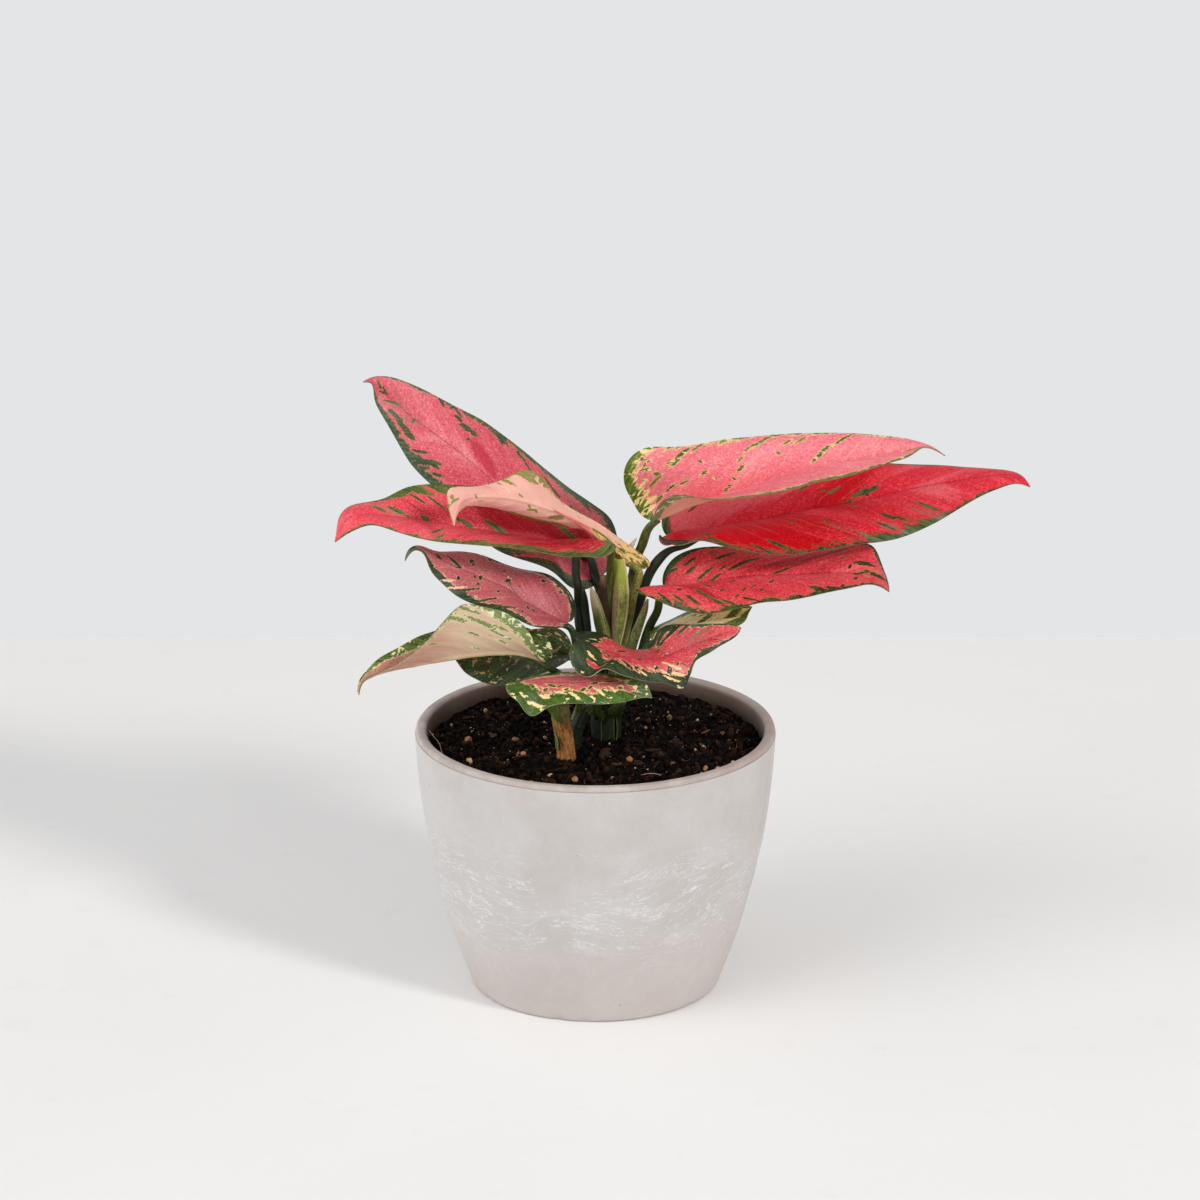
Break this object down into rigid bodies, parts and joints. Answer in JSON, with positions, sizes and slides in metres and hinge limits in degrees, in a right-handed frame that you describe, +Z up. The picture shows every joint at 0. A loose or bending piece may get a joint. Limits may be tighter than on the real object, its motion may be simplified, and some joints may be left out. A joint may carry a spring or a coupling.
{
  "type": "potted chinese evergreen",
  "caption": "Red-leaved chinese evergreen house plant growing in potting mix in a round, tapering, concrete-look pot.",
  "frame": {"origin": "centre of the pot's flat underside", "axes": "+Z up, +Y away from the picture's viewer, +X to the viewer's right"},
  "size_m": [0.2741, 0.145, 0.2409],
  "materials": {
    "concrete": "matte warm grey cement with pale brushed streaks round the middle",
    "potting_mix": "damp, almost black peat mix with bark and perlite bits",
    "woody_stem": "dry tan striated cane",
    "green_stalk": "smooth dark green plant stalk, faintly ribbed",
    "pale_sheath": "pale yellow-green papery sheath with darker mottling",
    "red_blade": "satin pink to deep red leaf with dark green, cream-edged margins and flecks",
    "pale_blade": "pale pink leaf underside with olive flecks and green margins",
    "cream_green_blade": "satin cream and green marbled leaf"
  },
  "bodies": {
    "root": {"cane": "woody_stem", "leaf_back_left": "red_blade", "leaf_front_small": "red_blade", "leaf_front_wavy": "red_blade", "leaf_left_low_folded": "pale_blade", "leaf_left_lower": "red_blade", "leaf_left_middle": "red_blade", "leaf_left_under": "red_blade", "leaf_right_lower": "red_blade", "leaf_right_middle": "red_blade", "leaf_right_under": "cream_green_blade", "leaf_right_upper": "red_blade", "leaf_young_curled": "pale_blade", "petiole_back_left": "green_stalk", "petiole_front_small": "green_stalk", "petiole_front_wavy": "green_stalk", "petiole_left_low_folded": "green_stalk", "petiole_left_lower": "green_stalk", "petiole_left_middle": "green_stalk", "petiole_left_under": "green_stalk", "petiole_right_lower": "green_stalk", "petiole_right_middle": "green_stalk", "petiole_right_under": "green_stalk", "petiole_right_upper": "green_stalk", "petiole_young_curled": "green_stalk", "pot": "concrete", "sheath_centre": "pale_sheath", "sheath_left": "pale_sheath", "sheath_pointed": "pale_sheath", "soil": "potting_mix", "stem_back": "green_stalk", "stem_middle": "green_stalk"}
  },
  "joints": []
}
